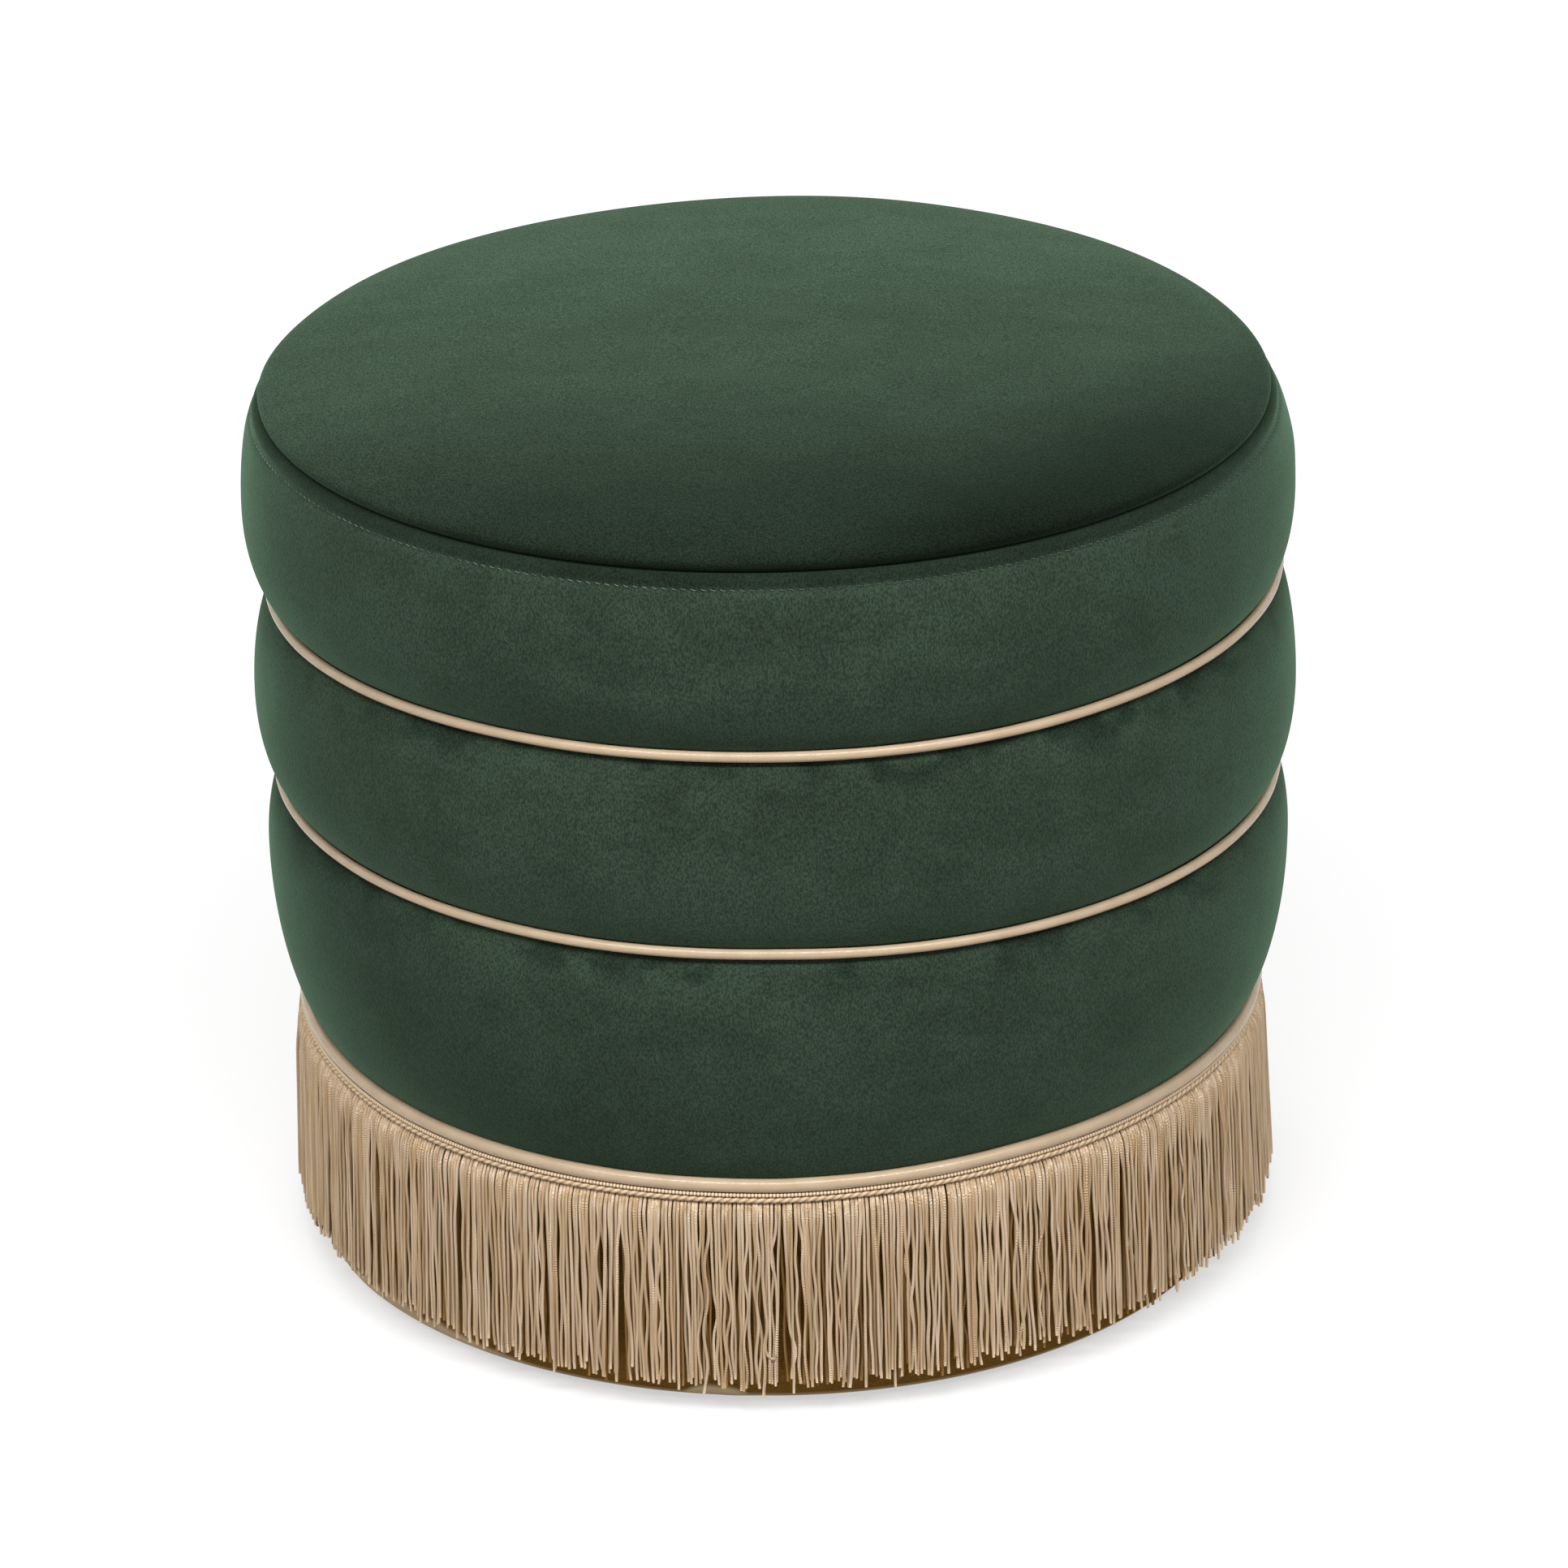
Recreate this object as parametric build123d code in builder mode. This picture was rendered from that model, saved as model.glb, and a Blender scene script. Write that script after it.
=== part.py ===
from build123d import *
import os
from collections import namedtuple
from math import cos, radians, sin, sqrt

# Round ottoman in three velvet tiers over a wooden drum, with piped seams and a long cord fringe
# The axis is Z, the floor is Z = 0, and every length is in millimetres

# Heights of the cover's seams, from the floor up
lower_seam_height = 106.5
lower_tier_height = 110.0
middle_tier_height = 88.0
upper_tier_height = 80.5
crown_height = 22.0

# How far the seams stand out from the drum's wall, and how far the velvet swells past them
groove_stand = 14.5
lower_groove_stand = 5.5
seat_seam_flare = 4.0
tier_swell = 12.5
lower_tier_swell = 9.0
bulge_sag = 6.0
lower_bulge_rise = 8.0

# Fullness of the crown, as the reach of its curve's handles along the radius and up the rim
crown_reach = 0.75
crown_shoulder = 0.70

# Cloth, wadding and foam
velvet_thickness = 1.2
lining_thickness = 1.2
wadding_thickness = 6.0
seat_foam_depth = 45.0
plinth_foam_thickness = 4.7
plinth_round = 4.2
hem_width = 22.0
dust_cloth_thickness = 0.5
dust_cloth_overlap = 10.0

# Piped seams
piping_radius = 2.3
lower_piping_radius = 3.0
sleeve_thickness = 0.6
filler_ease = 0.15

# Fringe
tape_thickness = 2.4
tape_height = 13.0
braid_depth = 3.4
braid_height = 5.0
strand_width = 2.2
strand_root_width = 1.6
strand_root_drop = 1.6
strand_shoulder_drop = 5.0
fringe_swell = 4.3
fringe_flare = 4.5
fringe_floor_gap = 10.0
tip_spread = 5.0
row_stagger = 0.8
fringe_panel_count = 12
strands_per_panel = 36

# Wooden drum
drum_radius = 198.0
wall_thickness = 4.0
board_thickness = 15.0
hoop_thickness = 12.0
hoop_width = 44.0
hoop_web = 10.0
post_size = 32.0
post_edge = 3.0
post_count = 6
vent_radius = 12.0
vent_pitch = 90.0
vent_count = 6

# Screws, nails and glides
screw_radius = 2.0
screw_head_radius = 4.0
screw_hole_ease = 0.15
board_screw_length = 50.0
board_screw_inset = 6.0
hoop_screw_length = 22.0
glide_radius = 11.0
glide_height = 3.0
glide_edge = 1.2
glide_inset = 6.0
glide_count = 6
nail_radius = 1.1
nail_head_radius = 3.5
nail_head_thickness = 0.8
nail_cover = 1.0
nail_grip = 11.0

# Clearances: cloth and foam lie this far apart, and wood stands this far from its notch
ease = 0.3
wood_ease = 0.2

# Levels, worked out from the heights above
dust_z = glide_height
hem_z = dust_z + dust_cloth_thickness
base_z = hem_z + lining_thickness
base_top_z = base_z + board_thickness
lower_seam_z = lower_seam_height
middle_seam_z = lower_seam_z + lower_tier_height
upper_seam_z = middle_seam_z + middle_tier_height
seat_seam_z = upper_seam_z + upper_tier_height
top_z = seat_seam_z + crown_height
seat_board_top_z = seat_seam_z - seat_foam_depth
seat_board_z = seat_board_top_z - board_thickness

# Radii, worked out from the drum outwards and inwards
cover_inner_radius = drum_radius + ease
board_radius = drum_radius - wall_thickness - ease
hoop_inner_radius = board_radius - hoop_width
post_face_radius = board_radius - hoop_web - wood_ease
post_pitch = post_face_radius - post_size / 2
board_screw_pitch = post_pitch - board_screw_inset
plinth_foam_radius = cover_inner_radius + plinth_foam_thickness
plinth_radius = plinth_foam_radius + ease + lining_thickness
hem_inner_radius = drum_radius - hem_width
groove_radius = drum_radius + groove_stand
lower_groove_radius = drum_radius + lower_groove_stand
seat_seam_radius = groove_radius + seat_seam_flare
tier_radius = groove_radius + tier_swell
lower_tier_radius = groove_radius + lower_tier_swell
glide_pitch = hem_inner_radius - glide_inset - glide_radius
post_angles = [360 / post_count * k for k in range(post_count)]
glide_start_angle = 180 / glide_count

os.makedirs("parts", exist_ok=True)


def write(builder, node):
    """Label a finished piece and write it out under its own name"""
    builder.part.label = node
    export_step(builder.part, f"parts/{node}.step")


# Wood screw with a flat head, hanging from the origin along -Z
def wood_screw(length):
    with BuildPart() as screw:
        with BuildSketch(Plane.XZ):
            with BuildLine():
                Polyline(
                    (0, 0),
                    (screw_head_radius, 0),
                    (screw_radius, screw_radius - screw_head_radius),
                    (screw_radius, 2 * screw_radius - length),
                    (0, -length),
                    close=True,
                )
            make_face()
        revolve(axis=Axis.Z)
    return screw.part


board_screw = wood_screw(board_screw_length)
hoop_screw = wood_screw(hoop_screw_length)
base_underside = Plane(origin=(0, 0, base_z), x_dir=(1, 0, 0), z_dir=(0, 0, -1))


def radial_plane(radius, angle, height):
    """Plane that faces straight out from the axis"""
    outward = (cos(radians(angle)), sin(radians(angle)), 0)
    return Plane(origin=(radius * outward[0], radius * outward[1], height), z_dir=outward)


# Nail of a floor glide, with its head down inside the glide
with BuildPart() as nail:
    with BuildSketch(Plane.XZ):
        with BuildLine():
            Polyline(
                (0, nail_cover),
                (nail_head_radius, nail_cover),
                (nail_head_radius, nail_cover + nail_head_thickness),
                (nail_radius, nail_cover + nail_head_thickness),
                (nail_radius, base_z + nail_grip - 2 * nail_radius),
                (0, base_z + nail_grip),
                close=True,
            )
        make_face()
    revolve(axis=Axis.Z)

# Base board: plywood disc, countersunk from below for the posts' screws
with BuildPart() as base_board:
    with BuildSketch(Plane.XY.offset(base_z)):
        Circle(board_radius)
    extrude(amount=board_thickness)
    with Locations(base_underside):
        with PolarLocations(board_screw_pitch, post_count):
            CounterSinkHole(
                screw_radius + screw_hole_ease, screw_head_radius, board_thickness, counter_sink_angle=90
            )
    with PolarLocations(glide_pitch, glide_count, start_angle=glide_start_angle):
        add(nail.part, mode=Mode.SUBTRACT)
write(base_board, "base_board")

# Seat board: the same disc under the seat foam, with holes that let the foam breathe
with BuildPart() as seat_board:
    with BuildSketch(Plane.XY.offset(seat_board_z)):
        Circle(board_radius)
        Circle(vent_radius, mode=Mode.SUBTRACT)
        with PolarLocations(vent_pitch, vent_count):
            Circle(vent_radius, mode=Mode.SUBTRACT)
    extrude(amount=board_thickness)
    with Locations((0, 0, seat_board_top_z)):
        with PolarLocations(board_screw_pitch, post_count):
            CounterSinkHole(
                screw_radius + screw_hole_ease, screw_head_radius, board_thickness, counter_sink_angle=90
            )
write(seat_board, "seat_board")

# Hoops: plywood rings level with the two grooves, notched to slip over the posts
hoop_heights = {"lower_hoop": middle_seam_z, "upper_hoop": upper_seam_z}
notch_outer_radius = post_face_radius + wood_ease
notch_length = post_size + hoop_width
for node, height in hoop_heights.items():
    with BuildPart() as hoop:
        with BuildSketch(Plane.XY.offset(height - hoop_thickness / 2)):
            Circle(board_radius)
            Circle(hoop_inner_radius, mode=Mode.SUBTRACT)
            with PolarLocations(notch_outer_radius - notch_length / 2, post_count):
                Rectangle(notch_length, post_size + 2 * wood_ease, mode=Mode.SUBTRACT)
        extrude(amount=hoop_thickness)
        with Locations(*[radial_plane(board_radius, angle, height) for angle in post_angles]):
            CounterSinkHole(
                screw_radius + screw_hole_ease, screw_head_radius, hoop_screw_length, counter_sink_angle=90
            )
    write(hoop, node)

# Posts: square lengths of timber between the two boards, drilled for every screw that enters them
board_screw_bite = board_screw_length - board_thickness
hoop_screw_bite = hoop_screw_length - hoop_web - wood_ease
for number, angle in enumerate(post_angles, start=1):
    post_plane = Plane.XY.rotated((0, 0, angle))
    with BuildPart() as post:
        with BuildSketch(post_plane.offset(base_top_z)):
            with Locations((post_pitch, 0)):
                RectangleRounded(post_size, post_size, post_edge)
        extrude(amount=seat_board_z - base_top_z)
        with Locations(post_plane.offset(seat_board_z)):
            with Locations((board_screw_pitch, 0)):
                Hole(screw_radius, board_screw_bite)
        with Locations(post_plane.offset(base_top_z)):
            with Locations((board_screw_pitch, 0)):
                Hole(screw_radius, board_screw_bite)
        with Locations(*[radial_plane(post_face_radius, angle, height) for height in hoop_heights.values()]):
            Hole(screw_radius, hoop_screw_bite)
    write(post, f"frame_post_{number}")

# Screws, in groups of identical ones
with BuildPart() as seat_board_screws:
    with Locations((0, 0, seat_board_top_z)):
        with PolarLocations(board_screw_pitch, post_count):
            add(board_screw)
write(seat_board_screws, "seat_board_screws")

with BuildPart() as base_board_screws:
    with Locations(base_underside):
        with PolarLocations(board_screw_pitch, post_count):
            add(board_screw)
write(base_board_screws, "base_board_screws")

with BuildPart() as hoop_screws:
    for height in hoop_heights.values():
        with Locations(*[radial_plane(board_radius, angle, height) for angle in post_angles]):
            add(hoop_screw)
write(hoop_screws, "hoop_screws")

# Drum wall: hardboard bent round the boards and hoops
with BuildPart() as drum_wall:
    with BuildSketch(Plane.XY.offset(base_z)):
        Circle(drum_radius)
        Circle(drum_radius - wall_thickness, mode=Mode.SUBTRACT)
    extrude(amount=seat_board_top_z - base_z)
write(drum_wall, "drum_wall")

# Tiers of the cover: each runs from one seam to the next and swells between them
Tier = namedtuple("Tier", "name bottom top bottom_groove top_groove radius widest")
tiers = [
    Tier(
        "lower",
        lower_seam_z + sleeve_thickness,
        middle_seam_z - sleeve_thickness,
        lower_groove_radius,
        groove_radius,
        lower_tier_radius,
        lower_seam_z + lower_tier_height / 2 + lower_bulge_rise,
    ),
    Tier(
        "middle",
        middle_seam_z + sleeve_thickness,
        upper_seam_z - sleeve_thickness,
        groove_radius,
        groove_radius,
        tier_radius,
        middle_seam_z + middle_tier_height / 2 - bulge_sag,
    ),
    Tier(
        "upper",
        upper_seam_z + sleeve_thickness,
        seat_seam_z,
        groove_radius,
        seat_seam_radius,
        tier_radius,
        upper_seam_z + upper_tier_height / 2 - bulge_sag,
    ),
]
lower_tier, middle_tier, upper_tier = tiers


def tier_outline(tier, inset):
    """Half section of a tier out to its bulge, drawn in by inset at both ends and at the bulge"""
    top = tier.top - inset
    bottom = tier.bottom + inset
    with BuildSketch() as outline:
        with BuildLine():
            lower_arc = EllipticalCenterArc(
                (tier.bottom_groove, tier.widest),
                tier.radius - inset - tier.bottom_groove,
                tier.widest - bottom,
                start_angle=270,
                arc_size=90,
            )
            upper_arc = EllipticalCenterArc(
                (tier.top_groove, tier.widest),
                tier.radius - inset - tier.top_groove,
                top - tier.widest,
                start_angle=0,
                arc_size=90,
            )
            Polyline(upper_arc @ 1, (cover_inner_radius, top), (cover_inner_radius, bottom), lower_arc @ 0)
        make_face()
    return outline.sketch_local


for tier in tiers:
    # Foam roll, glued round the drum wall between two seams
    with BuildPart() as foam_roll:
        with BuildSketch(Plane.XZ):
            add(tier_outline(tier, velvet_thickness + ease))
        revolve(axis=Axis.Z)
    write(foam_roll, f"{tier.name}_foam_roll")

    # Velvet band over the roll, with its seam allowances turned in to the drum wall
    with BuildPart() as band:
        with BuildSketch(Plane.XZ):
            add(tier_outline(tier, 0))
            add(tier_outline(tier, velvet_thickness), mode=Mode.SUBTRACT)
        revolve(axis=Axis.Z)
    write(band, f"{tier.name}_band")


# Crown of the seat: one curve from the level middle down to the upright rim at the seam
def crown_outline(inset, base):
    """Half section under the crown, drawn in by inset at its rim and top, down to base"""
    rim = seat_seam_radius - inset
    top = top_z - inset
    with BuildSketch() as outline:
        with BuildLine():
            crown = Bezier(
                (0, top),
                (crown_reach * rim, top),
                (rim, base + crown_shoulder * (top - base)),
                (rim, base),
            )
            Polyline(crown @ 1, (0, base), crown @ 0)
        make_face()
    return outline.sketch_local


allowance_top_z = seat_seam_z + velvet_thickness
lip_z = allowance_top_z + ease
wadding_inset = velvet_thickness + ease
foam_inset = wadding_inset + wadding_thickness + ease

# Seat foam: a plug on the seat board, with a domed lip that reaches over the upper roll
with BuildPart() as seat_foam:
    with BuildSketch(Plane.XZ):
        add(crown_outline(foam_inset, lip_z))
        with Locations((0, seat_board_top_z)):
            Rectangle(drum_radius, lip_z - seat_board_top_z, align=(Align.MIN, Align.MIN))
    revolve(axis=Axis.Z)
write(seat_foam, "seat_foam")

# Wadding: soft sheet between the seat foam and the velvet
with BuildPart() as seat_wadding:
    with BuildSketch(Plane.XZ):
        add(crown_outline(wadding_inset, lip_z))
        add(crown_outline(wadding_inset + wadding_thickness, lip_z), mode=Mode.SUBTRACT)
    revolve(axis=Axis.Z)
write(seat_wadding, "seat_wadding")

# Top panel: domed velvet disc with its seam allowance turned in
with BuildPart() as top_panel:
    with BuildSketch(Plane.XZ):
        add(crown_outline(0, seat_seam_z))
        add(crown_outline(velvet_thickness, allowance_top_z), mode=Mode.SUBTRACT)
        with Locations((0, seat_seam_z)):
            Rectangle(
                cover_inner_radius, velvet_thickness, align=(Align.MIN, Align.MIN), mode=Mode.SUBTRACT
            )
    revolve(axis=Axis.Z)
write(top_panel, "top_panel")


# Piping: it sits as deep as the swelling velvet above and below lets it
seat_samples = 60


def piping_centre(groove, radius, *arms):
    """Radius of a piping's centre line that clears the velvet arcs leaving its groove"""
    reach = radius + ease
    centre = groove
    for swell, rise in arms:
        for step in range(seat_samples + 1):
            height = sleeve_thickness + (reach - sleeve_thickness) * step / seat_samples
            arc_drop = 1 - (height - sleeve_thickness) / rise
            arc_radius = groove + swell * sqrt(1 - arc_drop**2)
            centre = max(centre, arc_radius + sqrt(reach**2 - height**2))
    return centre


lower_arm = (lower_tier.radius - lower_groove_radius, lower_tier.widest - lower_tier.bottom)
lower_top_arm = (lower_tier.radius - groove_radius, lower_tier.top - lower_tier.widest)
middle_bottom_arm = (middle_tier.radius - groove_radius, middle_tier.widest - middle_tier.bottom)
middle_top_arm = (middle_tier.radius - groove_radius, middle_tier.top - middle_tier.widest)
upper_bottom_arm = (upper_tier.radius - groove_radius, upper_tier.widest - upper_tier.bottom)
pipings = [
    (
        "lower_piping",
        lower_seam_z,
        lower_piping_radius,
        piping_centre(lower_groove_radius, lower_piping_radius, lower_arm),
    ),
    (
        "middle_piping",
        middle_seam_z,
        piping_radius,
        piping_centre(groove_radius, piping_radius, lower_top_arm, middle_bottom_arm),
    ),
    (
        "upper_piping",
        upper_seam_z,
        piping_radius,
        piping_centre(groove_radius, piping_radius, middle_top_arm, upper_bottom_arm),
    ),
]
for node, height, radius, centre in pipings:
    # Sleeve: bias-cut strip folded round the filler, its two edges sewn together as a flange
    with BuildPart() as sleeve:
        with BuildSketch(Plane.XZ):
            with Locations((centre, height)):
                Circle(radius)
            with Locations(((cover_inner_radius + centre) / 2, height)):
                Rectangle(centre - cover_inner_radius, 2 * sleeve_thickness)
            with Locations((centre, height)):
                Circle(radius - sleeve_thickness, mode=Mode.SUBTRACT)
        revolve(axis=Axis.Z)
    write(sleeve, node)

    # Filler cord inside the sleeve
    with BuildPart() as filler:
        with BuildSketch(Plane.XZ):
            with Locations((centre, height)):
                Circle(radius - sleeve_thickness - filler_ease)
        revolve(axis=Axis.Z)
    write(filler, f"{node}_cord")

# Plinth foam: thin sheet round the foot of the drum, rounded at its lower edge
lining_top_z = lower_seam_z - sleeve_thickness
foam_round = min(plinth_round, 0.9 * plinth_foam_thickness)
with BuildPart() as plinth_foam:
    with BuildSketch(Plane.XZ) as section:
        with Locations((cover_inner_radius, base_z)):
            Rectangle(
                plinth_foam_thickness,
                lining_top_z - lining_thickness - ease - base_z,
                align=(Align.MIN, Align.MIN),
            )
        foot = section.vertices().group_by(Axis.Y)[0].sort_by(Axis.X)[-1]
        fillet(foot, foam_round)
    revolve(axis=Axis.Z)
write(plinth_foam, "plinth_foam")

# Plinth lining: tan cloth from the lower seam, round the foot and in under the base
with BuildPart() as plinth_lining:
    with BuildSketch(Plane.XZ) as section:
        with BuildLine():
            Polyline(
                (cover_inner_radius, lining_top_z),
                (plinth_radius, lining_top_z),
                (plinth_radius, hem_z),
                (hem_inner_radius, hem_z),
                (hem_inner_radius, base_z),
                (plinth_radius - lining_thickness, base_z),
                (plinth_radius - lining_thickness, lining_top_z - lining_thickness),
                (cover_inner_radius, lining_top_z - lining_thickness),
                close=True,
            )
        make_face()
        outer_foot = section.vertices().group_by(Axis.Y)[0].sort_by(Axis.X)[-1]
        fillet(outer_foot, foam_round + ease + lining_thickness)
        inner_foot = section.vertices().filter_by_position(Axis.Y, base_z - ease, base_z + ease)
        fillet(inner_foot.sort_by(Axis.X)[-1], foam_round + ease)
    revolve(axis=Axis.Z)
write(plinth_lining, "plinth_lining")

# Fringe: cords that leave a woven tape, swell out over the piping's shadow and hang almost to the floor
tape_inner_radius = plinth_radius + ease
tape_outer_radius = tape_inner_radius + tape_thickness
tape_top_z = lower_seam_z - lower_piping_radius - ease
strand_root_z = tape_top_z - braid_height - strand_root_drop
strand_shoulder_z = strand_root_z - strand_shoulder_drop
strand_root_radius = tape_outer_radius - tape_thickness / 2
strand_shoulder_radius = tape_outer_radius + fringe_swell
strand_tip_radius = strand_shoulder_radius + fringe_flare
panel_angle = 360 / fringe_panel_count
strand_angle = panel_angle / strands_per_panel

strands = []
for number in range(strands_per_panel):
    strand_plane = Plane.XY.rotated((0, 0, (number + 0.5) * strand_angle))
    stagger = row_stagger * (number % 2)
    tip_z = fringe_floor_gap + tip_spread * (0.5 + 0.5 * sin(radians(137.5) * number))
    with BuildPart() as strand:
        with BuildSketch(strand_plane.offset(strand_root_z)):
            with Locations((strand_root_radius, 0)):
                Rectangle(strand_root_width, strand_root_width)
        with BuildSketch(strand_plane.offset(strand_shoulder_z)):
            with Locations((strand_shoulder_radius - stagger, 0)):
                Rectangle(strand_width, strand_width)
        with BuildSketch(strand_plane.offset(tip_z)):
            with Locations((strand_tip_radius - stagger, 0)):
                Rectangle(strand_width, strand_width)
        loft(ruled=True)
    strands.append(strand.part)

with BuildPart() as fringe_panel:
    with BuildSketch(Plane.XZ):
        with Locations((tape_inner_radius, tape_top_z - tape_height)):
            Rectangle(tape_thickness, tape_height, align=(Align.MIN, Align.MIN))
    revolve(axis=Axis.Z, revolution_arc=panel_angle)
    add(strands)

for number in range(fringe_panel_count):
    with BuildPart() as turned_panel:
        add(fringe_panel.part, rotation=(0, 0, number * panel_angle))
    write(turned_panel, f"fringe_panel_{number + 1}")

# Braid: the woven heading that hides the roots of the fringe
with BuildPart() as fringe_braid:
    with BuildSketch(Plane.XZ):
        with Locations((tape_outer_radius + ease + braid_depth / 2, tape_top_z - braid_height / 2)):
            Ellipse(braid_depth / 2, braid_height / 2)
    revolve(axis=Axis.Z)
write(fringe_braid, "fringe_braid")

# Dust cloth under the base, pierced by the glides' nails
with BuildPart() as dust_cloth:
    with BuildSketch(Plane.XY.offset(dust_z)):
        Circle(hem_inner_radius + dust_cloth_overlap)
    extrude(amount=dust_cloth_thickness)
    with PolarLocations(glide_pitch, glide_count, start_angle=glide_start_angle):
        add(nail.part, mode=Mode.SUBTRACT)
write(dust_cloth, "dust_cloth")

# Floor glides with a rounded lower edge, each moulded round the head of its nail
with BuildPart() as glide:
    with BuildSketch():
        Circle(glide_radius)
    extrude(amount=glide_height)
    fillet(glide.edges().group_by(Axis.Z)[0], glide_edge)
    add(nail.part, mode=Mode.SUBTRACT)

with BuildPart() as floor_glides:
    with PolarLocations(glide_pitch, glide_count, start_angle=glide_start_angle):
        add(glide.part)
write(floor_glides, "floor_glides")

with BuildPart() as glide_nails:
    with PolarLocations(glide_pitch, glide_count, start_angle=glide_start_angle):
        add(nail.part)
write(glide_nails, "glide_nails")
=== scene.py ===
import math

import bpy
import numpy as np
from mathutils import Matrix, Vector
from mathutils.bvhtree import BVHTree


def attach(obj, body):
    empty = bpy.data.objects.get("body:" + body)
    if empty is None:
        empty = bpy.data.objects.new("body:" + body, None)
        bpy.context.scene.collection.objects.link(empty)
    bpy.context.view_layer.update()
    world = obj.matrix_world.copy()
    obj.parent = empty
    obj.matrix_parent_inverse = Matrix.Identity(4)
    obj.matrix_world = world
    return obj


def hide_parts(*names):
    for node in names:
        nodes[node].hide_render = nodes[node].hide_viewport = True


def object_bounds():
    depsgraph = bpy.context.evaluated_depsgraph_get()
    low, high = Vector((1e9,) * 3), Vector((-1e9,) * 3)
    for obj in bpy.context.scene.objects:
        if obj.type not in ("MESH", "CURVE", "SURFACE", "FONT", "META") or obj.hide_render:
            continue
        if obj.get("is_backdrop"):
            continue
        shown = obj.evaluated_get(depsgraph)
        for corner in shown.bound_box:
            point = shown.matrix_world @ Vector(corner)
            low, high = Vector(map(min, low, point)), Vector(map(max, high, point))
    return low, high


# Round ottoman in green velvet tiers over a wooden drum, with beige piping and a long cord fringe
# Profiles are in millimetres, as (radius, height) pairs, and the meshes in metres
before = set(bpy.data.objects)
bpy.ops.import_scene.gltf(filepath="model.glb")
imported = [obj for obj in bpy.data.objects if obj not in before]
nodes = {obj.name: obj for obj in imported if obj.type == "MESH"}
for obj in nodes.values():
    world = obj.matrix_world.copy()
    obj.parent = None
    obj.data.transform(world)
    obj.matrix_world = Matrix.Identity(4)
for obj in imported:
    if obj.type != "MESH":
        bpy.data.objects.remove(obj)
cad_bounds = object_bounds()

# Wooden drum
# Two plywood boards and two plywood hoops on six pine posts, with a bent hardboard wall round them.
# All of it is hidden by the cover, and it shows as the exact solids.


class Wire:
    """A socket of a shader tree; sums, products and powers of wires add their own nodes"""

    def __init__(self, tree, socket):
        self.tree = tree
        self.socket = socket

    def plug(self, socket):
        """Link this wire to an input of another node"""
        self.tree.links.new(self.socket, socket)

    def node(self, kind, settings, sockets, out=0):
        """Add any node: first its settings, then values or wires for its sockets"""
        added = self.tree.nodes.new(kind)
        for name, value in settings.items():
            setattr(added, name, value)
        for key, value in sockets.items():
            if isinstance(value, Wire):
                value.plug(added.inputs[key])
            else:
                added.inputs[key].default_value = value
        return Wire(self.tree, added.outputs[out])

    def math(self, operation, first, second):
        """Math node of two values or wires"""
        return self.node("ShaderNodeMath", {"operation": operation}, {0: first, 1: second})

    def __add__(self, other):
        return self.math("ADD", self, other)

    def __radd__(self, other):
        return self.math("ADD", other, self)

    def __sub__(self, other):
        return self.math("SUBTRACT", self, other)

    def __rsub__(self, other):
        return self.math("SUBTRACT", other, self)

    def __mul__(self, other):
        return self.math("MULTIPLY", self, other)

    def __rmul__(self, other):
        return self.math("MULTIPLY", other, self)

    def __pow__(self, other):
        return self.math("POWER", self, other)

    def sine(self):
        """Sine of this wire's value in radians"""
        return self.math("SINE", self, 0.0)

    def noise(self, scale, stretch=(1, 1, 1), detail=2.0):
        """Noise from 0 to 1, on coordinates that are squeezed by stretch"""
        place = self.node("ShaderNodeVectorMath", {"operation": "MULTIPLY"}, {0: self, 1: stretch})
        return self.node("ShaderNodeTexNoise", {}, {"Vector": place, "Scale": scale, "Detail": detail})

    def ramp(self, low, high, bottom=0.0, top=1.0):
        """Smooth step of this wire's value between low and high"""
        settings = {"interpolation_type": "SMOOTHSTEP"}
        return self.node("ShaderNodeMapRange", settings, {0: self, 1: low, 2: high, 3: bottom, 4: top})

    def mix(self, first, second):
        """Colour between first and second, with this wire as the factor"""
        return self.node("ShaderNodeMix", {"data_type": "RGBA"}, {0: self, 6: first, 7: second}, out=2)

    def axis(self, letter):
        """One coordinate of this wire's vector"""
        return self.node("ShaderNodeSeparateXYZ", {}, {0: self}, out="XYZ".index(letter))

    def along(self, direction):
        """Distance of this wire's vector along a direction"""
        settings = {"operation": "DOT_PRODUCT"}
        return self.node("ShaderNodeVectorMath", settings, {0: self, 1: direction}, out=1)

    def bump(self, depth, strength=1.0):
        """Normal from this wire's height, as deep as depth in metres"""
        return self.node("ShaderNodeBump", {}, {"Height": self, "Distance": depth, "Strength": strength})


def material(name, constants, uv=False):
    """New material, its shader with constants on plain sockets, and the wire of its coordinates"""
    made = bpy.data.materials.new(name)
    made.use_nodes = True
    tree = made.node_tree
    shader = tree.nodes["Principled BSDF"]
    for socket, value in constants.items():
        shader.inputs[socket].default_value = value
    if uv:
        place = tree.nodes.new("ShaderNodeUVMap")
        place.uv_map = "lay"
        return made, shader.inputs, Wire(tree, place.outputs["UV"])
    return made, shader.inputs, Wire(tree, tree.nodes.new("ShaderNodeTexCoord").outputs["Object"])


def wood(name, pale, dark, stretch, roughness):
    """Matt wood with its grain along the least stretched axis"""
    made, shader, place = material(name, {"Roughness": roughness, "Specular IOR Level": 0.25})
    grain = place.noise(60.0, stretch, 4.0)
    grain.ramp(0.35, 0.7).mix(pale, dark).plug(shader["Base Color"])
    grain.bump(0.0004).plug(shader["Normal"])
    return made


def paint(made, *names):
    """Give the exact solids of these nodes one material"""
    for name in names:
        nodes[name].data.materials.clear()
        nodes[name].data.materials.append(made)


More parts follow.
